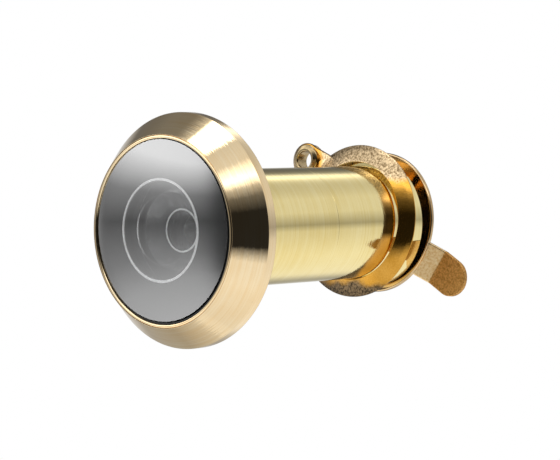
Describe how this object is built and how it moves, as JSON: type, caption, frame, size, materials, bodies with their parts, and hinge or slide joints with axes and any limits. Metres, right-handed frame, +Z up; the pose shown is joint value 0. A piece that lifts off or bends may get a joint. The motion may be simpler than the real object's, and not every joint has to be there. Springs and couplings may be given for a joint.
{
  "type": "door viewer",
  "caption": "Wide-angle door viewer: conical head with a domed lens, telescoping screw barrel, and a loose ring that carries a swinging cover flap.",
  "frame": {"origin": "on the barrel's axis, in the plane of the bezel's face that bears on the outside of the door", "axes": "+Y along the barrel, from the objective (outdoors) to the eyepiece (indoors); +Z up, towards the pivot of the cover flap"},
  "size_m": [0.0274, 0.0418, 0.0288],
  "materials": {
    "plated_head": "polished rose-gold plating with fine turning lines",
    "plated_barrel": "plated, turned",
    "black_seal": "matt black",
    "front_glass": "polished optical glass",
    "small_glass": "polished optical glass",
    "black_plastic": "matt black",
    "inner_brass": "turned, unplated",
    "plated_sleeve": "polished pale-yellow plating, brushed round",
    "eyepiece_glass": "polished optical glass",
    "plated_ring": "stamped sheet, tumbled then plated",
    "rivet_brass": "formed tube, plated",
    "plated_flap": "stamped sheet, polished"
  },
  "bodies": {
    "objective": {"head_bezel": "plated_head", "objective_barrel": "plated_barrel", "lens_seal": "black_seal", "objective_lens": "front_glass", "lens_holder": "black_plastic", "second_lens": "small_glass", "front_spacer": "black_plastic", "third_lens": "small_glass", "lens_retainer": "inner_brass"},
    "eyepiece_optics": {"eyepiece_lens": "eyepiece_glass", "field_stop": "black_plastic"},
    "eyepiece": {"eyepiece_sleeve": "plated_sleeve", "eyepiece_clamp": "inner_brass"},
    "cover_ring": {"cover_ring": "plated_ring", "pivot_rivet": "rivet_brass"},
    "cover_flap": {"cover_flap": "plated_flap"}
  },
  "joints": [
    {"name": "barrel_extend", "type": "slide", "parent": "objective", "child": "eyepiece_optics", "axis": [0, 1, 0], "range_m": [0, 0.02]},
    {"name": "barrel_turn", "type": "hinge", "parent": "eyepiece_optics", "child": "eyepiece", "pos_m": [0, 0.016, 0], "axis": [0, 1, 0], "range_deg": [0, 7200]},
    {"name": "ring_rock", "type": "hinge", "parent": "eyepiece_optics", "child": "cover_ring", "pos_m": [0.00015, 0.02953, 0.00013], "axis": [0.6717, 0, -0.7408], "range_deg": [0, 6]},
    {"name": "flap_swing", "type": "hinge", "parent": "cover_ring", "child": "cover_flap", "pos_m": [0.00012, 0.03034, 0.01166], "axis": [-0.0774, 0.9945, -0.0702], "continuous": true}
  ],
  "couplings": [
    {"joint": "barrel_turn", "follows": "barrel_extend", "rad_per_m": 6283.2}
  ]
}
